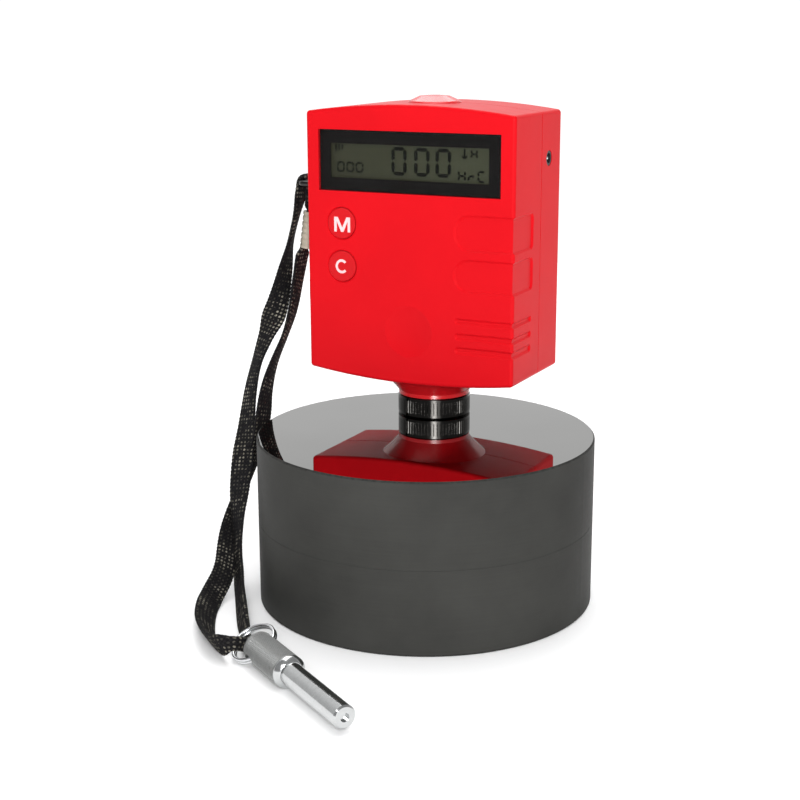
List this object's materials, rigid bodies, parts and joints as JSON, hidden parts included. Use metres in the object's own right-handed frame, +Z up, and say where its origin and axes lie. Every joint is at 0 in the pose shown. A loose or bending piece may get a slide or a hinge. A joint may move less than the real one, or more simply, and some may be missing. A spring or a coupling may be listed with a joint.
{
  "type": "portable hardness tester",
  "caption": "Pocket rebound hardness tester with a built-in impact device, display and keys, standing on a round steel test block; its wrist lanyard carries a loading rod.",
  "frame": {"origin": "centre of the test block's underside", "axes": "+Z up along the test block's axis; the tester's display looks along -Y; +X is to the right of someone reading the display"},
  "size_m": [0.1002, 0.1325, 0.1324],
  "materials": {
    "ground_steel": "blackened turned steel sides, mirror-lapped top face",
    "red_plastic": "glossy moulded red plastic",
    "black_steel": "blackened steel, knurled",
    "bright_steel": "plated steel",
    "steel": "turned steel",
    "white_plastic": "glossy pale plastic",
    "black_plastic": "fine moulded black plastic",
    "copper": "enamelled copper wire",
    "window": "clear window",
    "display": "grey-green liquid crystal display",
    "board": "green solder mask",
    "component": "moulded component",
    "rubber": "conductive rubber",
    "battery": "pouch cell",
    "lead": "insulated wire",
    "braid": "flat black braid with pale flecks",
    "cream_plastic": "ribbed cream plastic"
  },
  "bodies": {
    "block": {"test_block": "ground_steel"},
    "tester": {"front_shell": "red_plastic", "rear_shell": "red_plastic", "neck_collar": "red_plastic", "device_barrel": "black_steel", "guide_tube": "steel", "coil_bobbin": "black_plastic", "coil_winding": "copper", "catch_chuck": "steel", "impact_spring": "bright_steel", "guide_cap": "steel", "device_bracket": "black_plastic", "button_spring": "bright_steel", "display_window": "window", "window_border": "black_plastic", "display_glass": "display", "display_backlight": "white_plastic", "contact_strips": "rubber", "main_board": "board", "board_screws": "bright_steel", "processor": "component", "board_components": "component", "key_switches": "component", "side_switch": "component", "battery_connector": "white_plastic", "battery": "battery", "battery_leads": "lead", "coil_leads": "lead", "charging_jack": "black_plastic", "jack_pin": "bright_steel", "strap_lug": "black_steel", "case_screws": "bright_steel", "lanyard": "braid", "lanyard_ferrule": "cream_plastic", "split_ring": "bright_steel"},
    "release_button": {"release_button": "red_plastic", "release_rod": "steel"},
    "impact_body": {"impact_hammer": "steel", "hammer_magnet": "bright_steel", "ball_tip": "bright_steel"},
    "key_m": {"key_m": "red_plastic"},
    "key_c": {"key_c": "red_plastic"},
    "side_key": {"side_key": "red_plastic"},
    "support_ring": {"support_ring": "black_steel"},
    "loading_rod": {"rod_handle": "steel", "push_rod": "bright_steel"}
  },
  "joints": [
    {"name": "tester_lift", "type": "slide", "parent": "block", "child": "tester", "axis": [0, 0, 1], "range_m": [0, 0.06]},
    {"name": "button_press", "type": "slide", "parent": "tester", "child": "release_button", "axis": [0, 0, -1], "range_m": [0, 0.0025], "stiffness_N_per_m": 500, "deforming": ["button_spring"]},
    {"name": "hammer_travel", "type": "slide", "parent": "tester", "child": "impact_body", "axis": [0, 0, 1], "range_m": [0, 0.008], "stiffness_N_per_m": 344, "deforming": ["impact_spring"]},
    {"name": "key_m_press", "type": "slide", "parent": "tester", "child": "key_m", "axis": [0, 1, 0], "range_m": [0, 0.0006], "stiffness_N_per_m": 2500},
    {"name": "key_c_press", "type": "slide", "parent": "tester", "child": "key_c", "axis": [0, 1, 0], "range_m": [0, 0.0006], "stiffness_N_per_m": 2500},
    {"name": "side_key_press", "type": "slide", "parent": "tester", "child": "side_key", "axis": [1, 0, 0], "range_m": [0, 0.0006], "stiffness_N_per_m": 2500},
    {"name": "support_ring_turn", "type": "hinge", "parent": "tester", "child": "support_ring", "pos_m": [-0.0076, 0.0214, 0.048], "axis": [0, 0, 1], "continuous": true},
    {"name": "loading_rod_swing", "type": "hinge", "parent": "tester", "child": "loading_rod", "pos_m": [-0.01357, -0.06248, 0.00415], "axis": [0.4706, 0.727, 0.5], "range_deg": [-80, 0]}
  ]
}
